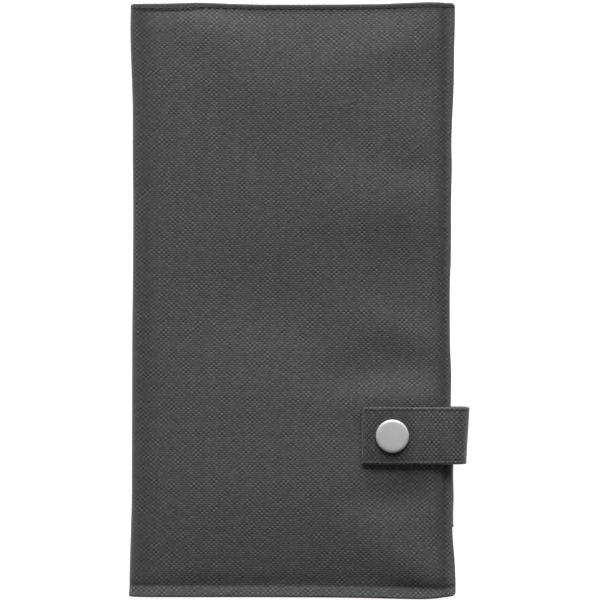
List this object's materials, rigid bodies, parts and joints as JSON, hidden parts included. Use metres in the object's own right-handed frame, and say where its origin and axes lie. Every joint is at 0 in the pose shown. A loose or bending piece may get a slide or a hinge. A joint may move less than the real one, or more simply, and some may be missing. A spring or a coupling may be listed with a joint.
{
  "type": "passport holder wallet",
  "caption": "Tall fabric travel wallet with stiffened covers that fold open on a soft spine, inner passport, card and ticket pockets, a pen loop and a snap strap.",
  "frame": {"origin": "centre of the back cover's outer face, on which the closed wallet lies", "axes": "+X from the spine to the open edge, +Y up the wallet's height, +Z from the back cover to the front cover"},
  "size_m": [0.1308, 0.23, 0.0193],
  "materials": {
    "outer_fabric": "matt plain-weave polyester, dark grey",
    "strap_fabric": "matt plain-weave polyester, dark grey, two plies",
    "lining_fabric": "fine smooth nylon lining, charcoal",
    "stiffener_board": "matt polyethylene board",
    "snap_metal": "satin nickel plate"
  },
  "bodies": {
    "back": {"back_outer_fabric": "outer_fabric", "back_stiffener": "stiffener_board", "back_lining": "lining_fabric", "ticket_pocket": "lining_fabric", "boarding_pass_pocket": "lining_fabric", "pen_loop": "outer_fabric", "strap_anchor": "strap_fabric"},
    "spine": {"spine_outer_fabric": "outer_fabric", "spine_lining": "lining_fabric"},
    "front": {"front_outer_fabric": "outer_fabric", "front_stiffener": "stiffener_board", "front_lining": "lining_fabric", "passport_pocket": "lining_fabric", "card_slot_1": "lining_fabric", "card_slot_2": "lining_fabric", "card_slot_3": "lining_fabric", "snap_stud": "snap_metal", "snap_post": "snap_metal"},
    "strap_side": {"strap_side_inner": "strap_fabric", "strap_side_outer": "strap_fabric"},
    "strap_flap": {"strap_flap_inner": "strap_fabric", "strap_flap_outer": "strap_fabric", "snap_cap": "snap_metal", "snap_socket": "snap_metal", "snap_spring": "snap_metal"}
  },
  "joints": [
    {"name": "spine_fold", "type": "hinge", "parent": "back", "child": "spine", "pos_m": [-0.0622, 0, 0.0003], "axis": [0, -1, 0], "range_deg": [0, 89]},
    {"name": "cover_fold", "type": "hinge", "parent": "spine", "child": "front", "pos_m": [-0.0622, 0, 0.0137], "axis": [0, -1, 0], "range_deg": [0, 89]},
    {"name": "strap_fold", "type": "hinge", "parent": "back", "child": "strap_side", "pos_m": [0.0676, -0.05245, 0.00155], "axis": [0, 1, 0], "range_deg": [0, 85]},
    {"name": "strap_lift", "type": "hinge", "parent": "strap_side", "child": "strap_flap", "pos_m": [0.0676, -0.05245, 0.01725], "axis": [0, 1, 0], "range_deg": [0, 85]}
  ],
  "couplings": [
    {"joint": "cover_fold", "follows": "spine_fold", "ratio": 1},
    {"joint": "strap_lift", "follows": "strap_fold", "ratio": 1}
  ]
}
